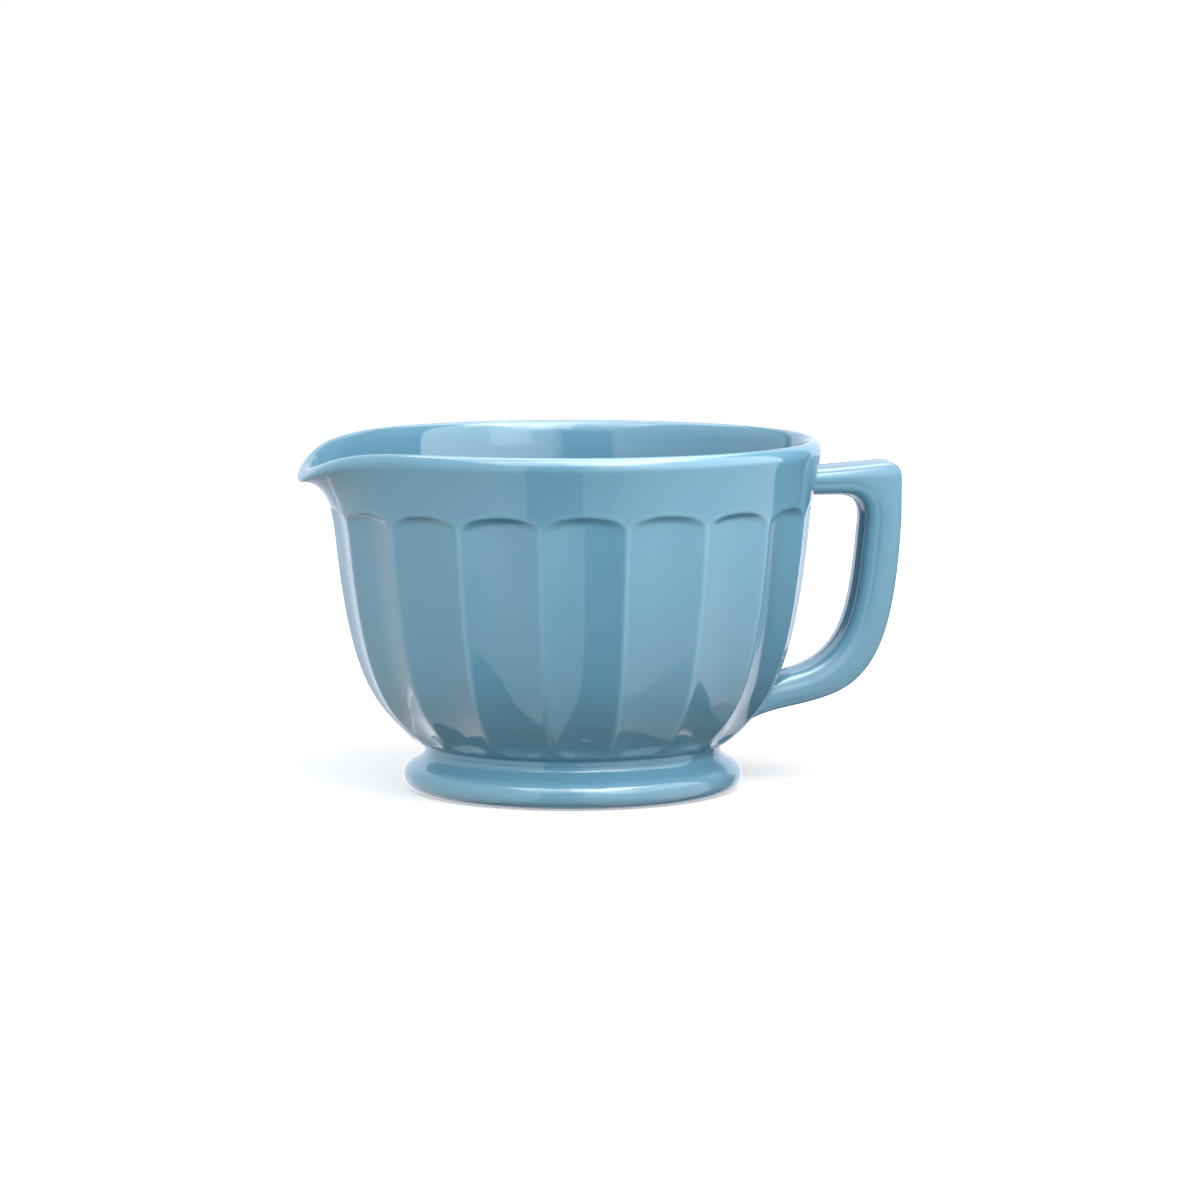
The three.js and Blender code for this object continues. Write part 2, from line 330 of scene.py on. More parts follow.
@dataclass
class Bowl:
    """The fluted body: its wall, its flutes, its rim band and its pouring lip."""

    # Wall, rim and floor
    waist_radius: float = 56.7
    shoulder_radius: float = 91.6
    shoulder_drop: float = 25.6
    belly_low_pull: Pair = (21.0, 16.5)
    belly_high_pull: Pair = (-5.8, -65.8)
    body_wall: float = 6.0
    rim_wall: float = 6.6
    rim_roll: float = 5.6
    rim_crown: float = 3.2
    rim_fullness: float = 0.55
    # Painted highlight, in the paler colour, over the round rim
    rim_painted_light: float = 0.6
    neck_radius: float = 56.9
    neck_rise: Pair = (1.6, 3.8)
    floor_thickness: float = 5.0
    floor_fillet: float = 4.0
    # Flutes and their arches
    flute_count: int = 18
    flute_depth: float = 2.6
    ridge_rounding: float = 1.1
    # Width of the painted highlight lines on the ridges, and strength and rise of the one above the arches
    ridge_line: float = 1.0
    arch_line_share: float = 0.4
    arch_line_rise: float = 0.5
    arch_drop: float = 21.5
    arch_rise: float = 5.2
    arch_saddle: float = 2.0
    arch_step: float = 3.2
    arch_rounding: float = 0.5
    flute_foot_rise: float = 6.2
    flute_foot_sag: float = 3.0
    flute_runout: float = 3.5
    # Pouring lip
    lip_reach: float = 9.6
    lip_dip: float = 9.1
    lip_tail: float = 37.0
    lip_reach_power: float = 2.2
    lip_dip_power: float = 3.4
    lip_tip_angle: float = 14.5
    lip_dip_angle: float = 9.9
    # Rows and columns of the mesh
    columns_per_flute: int = 32
    column_evenness: float = 0.4
    neck_rows: int = 20
    flute_breaks: Pair = (0.05, 0.94)
    flute_rows: tuple[int, int, int] = (8, 28, 16)
    band_rows: int = 16
    rim_rows: int = 14
    inside_break: float = 60.0
    inside_counts: tuple[int, int] = (12, 26)
    fillet_rows: int = 9
    floor_rings: int = 5
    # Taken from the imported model
    rim_radius: float = field(init=False)
    rim_height: float = field(init=False)
    waist_height: float = field(init=False)

    def __post_init__(self) -> None:
        """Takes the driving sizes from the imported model."""
        low, high = box_mm(Node.BOWL)
        self.rim_radius = float(high[1] - low[1]) / 2
        self.rim_height = float(high[2])
        self.waist_height = float(low[2])

    @property
    def wall_top(self) -> float:
        """Height at which the outside of the wall turns into the round rim."""
        return self.rim_height - self.rim_roll

    @property
    def shoulder_height(self) -> float:
        """Height at which the belly turns into the plain band."""
        return self.rim_height - self.shoulder_drop

    def belly(self, shares: np.ndarray) -> np.ndarray:
        """Points of the belly's outline, a cubic Bezier from the waist to the shoulder."""
        waist = np.array([self.waist_radius, self.waist_height])
        shoulder = np.array([self.shoulder_radius, self.shoulder_height])
        low = waist + self.belly_low_pull
        high = shoulder + self.belly_high_pull
        return bezier([waist, low, high, shoulder], shares)

    def wall_radius(self, height: np.ndarray) -> np.ndarray:
        """Radius of the ridges at a height: an upright neck, the belly's curve, then a band that flares.

        The neck runs over into the belly by an S-shaped ramp, and the band flares by a square law.

        Args:
            height: Heights above the table.

        Returns:
            Radii, shaped like the heights.
        """
        outline = self.belly(np.linspace(0, 1, DENSE))
        low, high = self.neck_rise
        clear = smooth((height - self.waist_height - low) / (high - low))
        belly = np.interp(height, outline[:, 1], outline[:, 0])
        below = self.neck_radius + (belly - self.neck_radius) * clear
        slope = self.belly_high_pull[0] / self.belly_high_pull[1]
        span = self.wall_top - self.shoulder_height
        bend = (self.rim_radius - self.shoulder_radius - slope * span) / span**2
        rise = height - self.shoulder_height
        band = self.shoulder_radius + slope * rise + bend * rise**2
        return np.where(rise > 0, band, below)

    def angles(self) -> np.ndarray:
        """Angles of the columns, closer together near the ridges than in the middle of a flute.

        Across a flute they are a blend of even steps and of steps that follow a sine.

        Returns:
            Angles in radians, flute after flute.
        """
        step = np.arange(self.columns_per_flute) / self.columns_per_flute * 2 - 1
        even = self.column_evenness
        gathered = even * step + (1 - even) * np.sin(step * np.pi / 2)
        pitch = 2 * np.pi / self.flute_count
        centres = np.arange(self.flute_count) * pitch
        return (centres[:, None] + gathered[None, :] * pitch / 2).ravel()

    def across_flute(self, angle: np.ndarray) -> np.ndarray:
        """Place across a flute: 0 at its middle, 1 at the ridges beside it."""
        turns = angle * self.flute_count / (2 * np.pi)
        return 2 * np.abs(turns - np.round(turns))

    def arch_height(self, angle: np.ndarray) -> np.ndarray:
        """Height of the arches' edge.

        It is half an ellipse over each flute, on a line that sags towards the lip and the handle by the
        square of the cosine of the angle.

        Args:
            angle: Angles round the axis.

        Returns:
            Heights, shaped like the angles.
        """
        across = self.across_flute(angle)
        drop = 1 - np.sqrt(np.clip(1 - across**2, 0, None))
        sag = self.arch_saddle * np.cos(angle) ** 2
        return self.rim_height - self.arch_drop - self.arch_rise * drop - sag

    def flute_foot_height(self, angle: np.ndarray) -> np.ndarray:
        """Height of the flutes' lower ends, which sag in the middle by a parabola."""
        across = self.across_flute(angle)
        return self.waist_height + self.flute_foot_rise - self.flute_foot_sag * (1 - across**2)

    def drawn_out(self, angle: np.ndarray, height: np.ndarray) -> np.ndarray:
        """Points of the smooth outside with the pouring lip drawn out of it.

        Seen from above, lines from the lip's rounded tip touch the rim's circle. Seen from the side, the
        wall leans out and down by powers of the share of the lip's height that lies below a point.

        Args:
            angle: Angles round the axis.
            height: Heights before the lip is drawn, shaped like the angles.

        Returns:
            Points with a last axis of three coordinates.
        """
        turn = np.abs(np.arctan2(np.sin(angle - np.pi), np.cos(angle - np.pi)))
        start = self.rim_height - self.lip_tail
        share = np.clip((height - start) / (self.wall_top - start), 0, 1)
        tip = math.radians(self.lip_tip_angle)
        touch = math.acos(self.rim_radius / (self.rim_radius + self.lip_reach)) + tip
        rounded = np.minimum(touch, np.hypot(turn, tip))
        reach = self.rim_radius / np.cos(touch - rounded) - self.rim_radius
        dip = self.lip_dip / np.cosh(turn / math.radians(self.lip_dip_angle))
        radius = self.wall_radius(height) + reach * share**self.lip_reach_power
        return around(radius, angle, height - dip * share**self.lip_dip_power)

    def flute_cut(self, angle: np.ndarray, height: np.ndarray) -> np.ndarray:
        """Depth of the flutes below the smooth outside.

        Across a flute the depth is a parabola whose ends are rounded into the ridges. Up the flute it starts
        at the foot's arc, grows with the width of the flute and ends in a step under the arch.

        Args:
            angle: Angles of the columns.
            height: Heights above the table as rows and columns.

        Returns:
            Depths, shaped like the heights.
        """
        across = self.across_flute(angle)
        half_width = np.pi * self.shoulder_radius / self.flute_count
        inward = rounded_start(1 - across, self.ridge_rounding / half_width)
        parabola = inward * (2 - inward)
        below_arch = np.clip(self.arch_height(angle) - height, 0, None)
        step = ease_in(rounded_start(below_arch, self.arch_rounding) / self.arch_step)
        above_foot = np.clip(height - self.flute_foot_height(angle), 0, None)
        runout = ease_in(above_foot / self.flute_runout)
        width = self.wall_radius(height) / self.shoulder_radius
        return self.flute_depth * parabola * step * runout * width

    def painted_edge_lines(self, angle: np.ndarray, heights: np.ndarray) -> np.ndarray:
        """Painted highlights, a paler colour, along the ridges and along the top of the arches.

        Both fall off from their line like a bell curve, and the ridges only show between foot and arch.

        Args:
            angle: Angles of the columns.
            heights: Heights as rows and columns.

        Returns:
            Shares from 0 to 1, shaped like the heights.
        """
        across = self.across_flute(angle)
        half_width = np.pi * self.wall_radius(heights) / self.flute_count
        ridge = np.exp(-(((1 - across) * half_width / self.ridge_line) ** 2))
        above = (heights - self.arch_height(angle)) / self.ridge_line
        fluted = smooth((heights - self.flute_foot_height(angle)) / self.flute_runout) * smooth(1 - above)
        arch = np.exp(-((above - self.arch_line_rise) ** 2)) * self.arch_line_share
        return np.clip(np.maximum(ridge * fluted, arch), 0, 1)

    def outside_heights(self, angle: np.ndarray) -> np.ndarray:
        """Heights of the outside's rows, which follow the flutes' feet and arches.

        Args:
            angle: Angles of the columns.

        Returns:
            Heights as rows and columns.
        """
        foot = self.flute_foot_height(angle)[None, :]
        arch = self.arch_height(angle)[None, :]
        breaks = (0.0, *self.flute_breaks, 1.0)
        spans = zip(breaks, breaks[1:], self.flute_rows)
        flute = np.concatenate([np.linspace(low, high, rows, endpoint=False) for low, high, rows in spans])
        neck = np.linspace(0, 1, self.neck_rows, endpoint=False)
        band = np.linspace(0, 1, self.band_rows)
        below = self.waist_height + (foot - self.waist_height) * neck[:, None]
        beside = foot + (arch - foot) * flute[:, None]
        above = arch + (self.wall_top - arch) * band[:, None]
        return np.concatenate([below, beside, above])

    def inside_rows(self, angle: np.ndarray) -> np.ndarray:
        """Rows over the rounded rim and down the smooth inside to the floor.

        The inside is the smooth outside moved inwards by the wall, along its normal low down and straight to
        the axis at the rim. The rim is a cubic Bezier from the outside up to the level crown and another one
        down to the inside, and a fillet leads from the wall to the floor.

        Args:
            angle: Angles of the columns.

        Returns:
            Points as rows, columns and coordinates.
        """
        low_count, high_count = self.inside_counts
        heights = np.concatenate([
            np.linspace(self.waist_height + self.floor_fillet, self.inside_break, low_count),
            np.linspace(self.inside_break, self.wall_top, high_count)[1:],
        ])
        turns = np.broadcast_to(angle, (len(heights), len(angle)))
        smooth_wall = self.drawn_out(turns, np.broadcast_to(heights[:, None], turns.shape))
        normal, upward = grid_normals(smooth_wall)
        share = smooth((heights - self.shoulder_height) / (self.wall_top - self.shoulder_height))
        wall = self.body_wall + (self.rim_wall - self.body_wall) * share
        level = around(np.ones_like(angle), angle, 0.0)
        inward = normal + (level - normal) * share[:, None, None]
        inner = (smooth_wall - inward * wall[:, None, None])[::-1]
        crown = smooth_wall[-1] - level * self.rim_crown + np.array([0.0, 0.0, self.rim_roll])
        rise = upward[-1] * self.rim_roll * self.rim_fullness
        outer_pull = level * self.rim_crown * self.rim_fullness
        inner_pull = level * (self.rim_wall - self.rim_crown) * self.rim_fullness
        shares = np.linspace(0, 1, self.rim_rows + 1)[1:]
        outer = bezier([smooth_wall[-1], smooth_wall[-1] + rise, crown + outer_pull, crown], shares)
        bead = bezier([crown, crown - inner_pull, inner[0] + rise, inner[0]], shares)
        return np.concatenate([outer, bead, inner[1:], self.floor_rows(inner[-2:], angle)])

    def floor_rows(self, lowest: np.ndarray, angle: np.ndarray) -> np.ndarray:
        """Rows of the floor inside, with a fillet that leaves the wall and lands without a kink.

        The fillet is a quadratic Bezier whose middle point is where the wall's line would meet the floor.

        Args:
            lowest: The two lowest rows of the inner wall, the lower one last.
            angle: Angles of the columns.

        Returns:
            Points as rows, columns and coordinates.
        """
        floor = self.waist_height + self.floor_thickness
        before, last = (
            np.array([np.hypot(row[:, 0], row[:, 1]).mean(), row[:, 2].mean()]) for row in lowest
        )
        slope = (last - before) / (last[1] - before[1])
        corner = last + slope * (floor - last[1])
        landing = np.array([corner[0] - np.linalg.norm(corner - last), floor])
        fillet = bezier([last, corner, landing], np.linspace(0, 1, self.fillet_rows + 1)[1:])
        flat = np.linspace(landing, (0.0, floor), self.floor_rings + 1, endpoint=False)[1:]
        profile = np.concatenate([fillet, flat])
        return around(profile[:, :1], angle, profile[:, 1:])

    def build(self, finish: MilkGlass) -> bpy.types.Object:
        """Builds and dresses the body.

        Args:
            finish: The glass.

        Returns:
            The piece.
        """
        angle = self.angles()
        heights = self.outside_heights(angle)
        wall = self.drawn_out(np.broadcast_to(angle, heights.shape), heights)
        normal, _ = grid_normals(wall)
        outside = wall - normal * self.flute_cut(angle, heights)[..., None]
        grid = np.concatenate([outside, self.inside_rows(angle)])
        start = np.array([0.0, 0.0, self.waist_height])
        end = np.array([0.0, 0.0, grid[-1, :, 2].mean()])
        vertices, faces = closed_sheet(grid, (start, end))
        # Painted highlights: ridges, arches and the round rim get the paler colour
        rim = self.rim_painted_light * np.sin(np.linspace(0, np.pi, 2 * self.rim_rows))
        painted_light = np.concatenate([self.painted_edge_lines(angle, heights).ravel(), np.repeat(rim, len(angle))])
        painted_shares = np.concatenate([painted_light, np.zeros(len(vertices) - len(painted_light))])
        piece = make_piece("fluted_bowl", vertices, faces, Node.BOWL, painted_shares)
        piece.data.materials.append(finish.material("milk_glass_body"))
        return piece


@dataclass
class PedestalFoot:
    """The round foot: a cove under the waist, a swelling edge and a recess underneath."""

    body: Bowl
    edge_radius: float = 4.6
    neck_pull: float = 5.0
    toe_pull: float = 6.6
    ring_width: float = 4.4
    ring_rounding: float = 0.6
    recess_depth: float = 8.5
    recess_draft: float = 6.0
    recess_fillet: float = 3.0
    # Painted light round the foot's outer rim, faking light through the glass; edge_fade is how far in it
    # fades
    edge_painted_light: float = 0.6
    edge_fade: float = 5.0
    pole_ring: float = 4.0
    flat_rows: int = 8
    curve_rows: int = 12
    sweep_rows: int = 48
    columns: int = 240
    foot_radius: float = field(init=False)
    height: float = field(init=False)

    def __post_init__(self) -> None:
        """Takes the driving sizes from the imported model."""
        low, high = box_mm(Node.FOOT)
        self.foot_radius = float(high[1] - low[1]) / 2
        self.height = float(high[2])

    def outline(self) -> np.ndarray:
        """Outline from the roof of the recess round the edge and up to the waist, as radius and height.

        The recess and the sweep up to the waist are Bezier curves, and the edge is a quarter circle.

        Returns:
            Points in a row.
        """
        ring_outside = self.foot_radius - self.edge_radius
        ring_inside = ring_outside - self.ring_width
        roof = ring_inside - self.recess_draft
        along = np.linspace(0, 1, self.curve_rows)
        start = (roof - self.recess_fillet, self.recess_depth)
        below_roof = (roof + self.recess_fillet / 2, self.recess_depth - self.recess_fillet)
        flat = np.linspace((self.pole_ring, self.recess_depth), start, self.flat_rows)
        cove = bezier([start, (roof, self.recess_depth), below_roof], along)
        before = (ring_inside - self.ring_rounding, self.ring_rounding)
        drop = bezier([cove[-1], before, (ring_inside + self.ring_rounding, 0.0)], along)
        swing = np.linspace(-np.pi / 2, 0, self.curve_rows)
        centre = np.array([ring_outside, self.edge_radius])
        edge = centre + self.edge_radius * np.stack([np.cos(swing), np.sin(swing)], axis=1)
        toe = (self.foot_radius, self.edge_radius + self.toe_pull)
        neck = (self.body.waist_radius, self.height - self.neck_pull)
        top = (self.body.waist_radius, self.height)
        sweep = bezier([edge[-1], toe, neck, top], np.linspace(0, 1, self.sweep_rows))
        lid = np.linspace(top, (self.pole_ring, self.height), self.flat_rows)
        return np.concatenate([flat, cove[1:], drop[1:], edge, sweep[1:], lid[1:]])

    def build(self, finish: MilkGlass) -> bpy.types.Object:
        """Builds and dresses the foot by turning its outline round the axis.

        Args:
            finish: The glass.

        Returns:
            The piece.
        """
        outline = self.outline()
        angle = np.linspace(0, 2 * np.pi, self.columns, endpoint=False)
        grid = around(outline[:, :1], angle, outline[:, 1:])
        poles = (np.array([0.0, 0.0, outline[0, 1]]), np.array([0.0, 0.0, outline[-1, 1]]))
        vertices, faces = closed_sheet(grid, poles)
        # Painted light: the foot's outer rim gets the paler colour
        out = np.hypot(vertices[:, 0], vertices[:, 1]) - self.foot_radius
        painted_shares = self.edge_painted_light * smooth(1 + out / self.edge_fade)
        piece = make_piece("footed_base", vertices, faces, Node.FOOT, painted_shares)
        piece.data.materials.append(finish.material("milk_glass_foot"))
        return piece


@dataclass
class Handle:
    """The D-shaped handle: a level arm, an upright grip that bends inwards, and a tail down to the wall."""

    body: Bowl
    width: float = 20.0
    # Arm and corner
    drop: float = 10.4
    arm: float = 13.2
    arm_taper: float = 2.2
    corner: float = 6.5
    inner_corner: float = 9.0
    # Grip and tail
    grip: float = 14.8
    straight: float = 22.6
    grip_outer_pull: Pair = (-2.2, -38.5)
    grip_inner_pull: Pair = (-3.4, -36.5)
    tail_height: float = 32.5
    tail_run: float = 28.5
    tail_outer_pull: Pair = (20.8, 7.1)
    tail_inner_pull: Pair = (25.0, 5.3)
    tail_flow: float = 0.8
    tail_landing: Pair = (60.0, 19.0)
    tail_settle: Pair = (13.0, 10.2)
    # Roots in the wall
    crotch_height: float = 42.5
    crotch_fillet: float = 4.6
    crotch_pull: Pair = (3.0, 0.7)
    root_start: float = 3.0
    root_sink: float = 2.5
    root_fillet: Pair = (1.6, 0.8)
    # Section
    outer_edge: float = 1.8
    inner_edge: float = 4.2
    outer_crown: float = 0.9
    inner_crown: float = 1.0
    side_crown: float = 0.7
    seam_height: float = 0.25
    seam_width: float = 0.45
    # Rows along the handle and points round its section
    curve_points: int = 80
    arm_rows: int = 32
    corner_rows: int = 26
    grip_rows: int = 60
    root_rows: int = 32
    face_points: int = 18
    edge_points: int = 14
    side_points: int = 26
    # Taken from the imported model
    reach: float = field(init=False)

    def __post_init__(self) -> None:
        """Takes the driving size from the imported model."""
        self.reach = float(box_mm(Node.HANDLE)[1][0]) - axis_mm()

    def contours(self) -> tuple[np.ndarray, np.ndarray]:
        """The outer and the inner contour in the handle's plane, with matching points.

        Both are cut into the arm, the turn at the corner, the grip with its tail, and the lower root. The
        curves are Bezier curves, and round the corner the points match along rays from a pivot.

        Returns:
            Outer and inner points as radius and height.
        """
        top = self.body.rim_height - self.drop
        under = top - self.arm
        inside = self.reach - self.grip
        pivot = np.array([inside - self.inner_corner, under - self.inner_corner])
        root = float(self.body.wall_radius(np.array(under))) - self.root_sink
        share = np.linspace(0, 1, self.curve_points)
        start = np.array([root, top - self.arm_taper])
        shoulder = np.array([self.reach - self.corner, top])
        above_pivot = start + (shoulder - start) * (pivot[0] - root) / (shoulder[0] - root)
        corner = bezier([shoulder, (self.reach, top), (self.reach, top - self.corner)], share)
        turn_outer = np.concatenate([[above_pivot], corner, [[self.reach, pivot[1]]]])
        edge = np.array([self.reach, top - self.straight])
        bend = np.array([self.reach - self.tail_run, self.tail_height])
        down = bezier([edge, edge + self.grip_outer_pull, bend + self.tail_outer_pull, bend], share)
        landing = np.array(self.tail_landing)
        onward = bend - self.tail_flow * np.array(self.tail_outer_pull)
        settle = bezier([bend, onward, landing + self.tail_settle, landing], share)
        low_outer = np.concatenate([turn_outer[-1:], down, settle[1:]])
        crotch_wall = float(self.body.wall_radius(np.array(self.crotch_height)))
        crotch = np.array([crotch_wall + self.crotch_fillet, self.crotch_height])
        turn_inner = bezier([(pivot[0], under), (inside, under), (inside, pivot[1])], share)
        high = turn_inner[-1]
        up = bezier([high, high + self.grip_inner_pull, crotch + self.tail_inner_pull, crotch], share)
        sunk = np.array([crotch_wall - self.root_sink, self.crotch_height - self.crotch_fillet])
        tuck = bezier([crotch, crotch - self.crotch_pull, sunk], share)
        clear = low_outer[:, 0] > crotch[0] + self.root_start
        arm_top = np.stack([start, above_pivot])
        arm_under = np.stack([(root, under), turn_inner[0]])
        stretches = (
            (arm_top, turn_outer, low_outer[clear], low_outer[~clear]),
            (arm_under, turn_inner, up, tuck),
        )
        outer, inner = (
            np.concatenate([
                evenly(arm, self.arm_rows)[:-1],
                self.fan(turn, pivot, self.corner_rows)[:-1],
                evenly(grip, self.grip_rows),
                evenly(low_root, self.root_rows),
            ])
            for arm, turn, grip, low_root in stretches
        )
        return outer, inner

    @staticmethod
    def fan(path: np.ndarray, pivot: np.ndarray, count: int) -> np.ndarray:
        """Points of a path on a number of rays from a pivot, turning evenly from straight up to level."""
        dense = evenly(path, DENSE)
        bearing = np.arctan2(dense[:, 0] - pivot[0], dense[:, 1] - pivot[1])
        wanted = np.linspace(0, np.pi / 2, count)
        return np.stack([np.interp(wanted, bearing, column) for column in dense.T], axis=1)

    def section(self) -> tuple[np.ndarray, np.ndarray, np.ndarray]:
        """The handle's section: a rounded bar with crowned faces and a mould seam.

        One half runs from the middle of the outer face over a small round edge, down the side and over a
        large round edge to the middle of the inner face. The outer face and the side are crowned by
        parabolas and the inner face by a shallow roof. The seam is a bell curve along the middle of both
        faces.

        Returns:
            Shares of the half thickness outwards, what is added to them in millimetres, and places across
            in millimetres, going round the section.
        """
        half = self.width / 2
        swing = np.linspace(0, np.pi / 2, self.edge_points)[1:]
        outer_run = np.linspace(0, half - self.outer_edge, self.face_points)
        inner_run = np.linspace(half - self.inner_edge, 0, self.face_points)
        side = np.linspace(0, 1, self.side_points)[1:-1]
        outer_drop = self.outer_crown * (outer_run / half) ** 2
        inner_drop = self.inner_crown * inner_run / half
        top = outer_drop[-1] + self.outer_edge
        bottom = inner_drop[0] + self.inner_edge
        bulge = self.side_crown * (1 - (2 * side - 1) ** 2)
        face = np.ones(len(outer_run))
        turn = np.ones(len(swing))
        shares = [face, turn, 1 - 2 * side, -turn, -face]
        added = [
            -outer_drop,
            -top + self.outer_edge * np.cos(swing),
            -top + (top + bottom) * side,
            bottom - self.inner_edge * np.sin(swing),
            inner_drop,
        ]
        across = [
            outer_run,
            half - self.outer_edge + self.outer_edge * np.sin(swing),
            half + bulge,
            half - self.inner_edge + self.inner_edge * np.cos(swing),
            inner_run,
        ]
        share, more, place = (np.concatenate(parts) for parts in (shares, added, across))
        more = more + share * self.seam_height * np.exp(-((place / self.seam_width) ** 2))
        back = slice(-2, 0, -1)
        return (
            np.concatenate([share, share[back]]),
            np.concatenate([more, more[back]]),
            np.concatenate([-place, place[back]]),
        )

    def fillet(self, radius: np.ndarray, height: np.ndarray) -> np.ndarray:
        """How much wider the handle is near the wall: the flank of a quarter round.

        The round's size grows from nothing at the tail's tip to that of the lower root, and changes evenly
        from there to that of the upper root.

        Args:
            radius: Distances from the axis.
            height: Heights above the table.

        Returns:
            Extra half width, shaped like the radii.
        """
        low, high = self.root_fillet
        stations = (self.tail_landing[1], self.tail_height, self.crotch_height, self.body.shoulder_height)
        size = np.interp(height, stations, (0.0, low, low, high))
        rest = size - np.clip(radius - self.body.wall_radius(height), 0, size)
        return size - np.sqrt(np.clip(size**2 - rest**2, 0, None))

    def build(self, finish: MilkGlass) -> bpy.types.Object:
        """Builds and dresses the handle by carrying its section along between the two contours.

        Args:
            finish: The glass.

        Returns:
            The piece.
        """
        outer, inner = self.contours()
        middle = (outer + inner) / 2
        half = np.linalg.norm(outer - inner, axis=1) / 2
        direction = (outer - inner) / (2 * half[:, None])
        share, more, across = self.section()
        thick = share[None, :] * half[:, None] + more[None, :]
        plane = middle[:, None, :] + direction[:, None, :] * thick[..., None]
        extra = self.fillet(np.hypot(plane[..., 0], across), plane[..., 1])
        sideways = across * (1 + extra / (self.width / 2))
        grid = np.stack([plane[..., 0], sideways, plane[..., 1]], axis=-1)
        ends = (grid[0].mean(axis=0), grid[-1].mean(axis=0))
        vertices, faces = closed_sheet(grid, ends)
        piece = make_piece("loop_handle", vertices, faces, Node.HANDLE, np.zeros(len(vertices)))
        piece.data.materials.append(finish.material("milk_glass_handle"))
        return piece


@dataclass(frozen=True)
class Panel:
    """A soft light panel that stands upright between two points, with the bowl to the left of its run.

    Points are metres to the right of the bowl's axis and beyond it, seen from the camera. The brightness in
    the gloss runs from the first point to the second. A panel that leans has its top nearer to the bowl by
    that distance, and its brightness runs from its bottom to its top.
    """

    name: str
    first: Pair
    second: Pair
    bottom: float
    top: float
    shine: Pair
    cast: float = 0.0
    lean: float = 0.0


@dataclass(frozen=True)
class Lamp:
    """A flat light with its middle, the point that it faces, and the width and height of its face.

    The gloss shows its face, whose brightness runs evenly from one end to the other, where 1 looks white.
    Matt surfaces get an even light from it.
    """

    name: str
    centre: Vector
    target: Vector
    size: Pair
    shine: Pair
    cast: float = 0.0
    grade: Grade = Grade.ACROSS
    outline: Outline = Outline.OBLONG


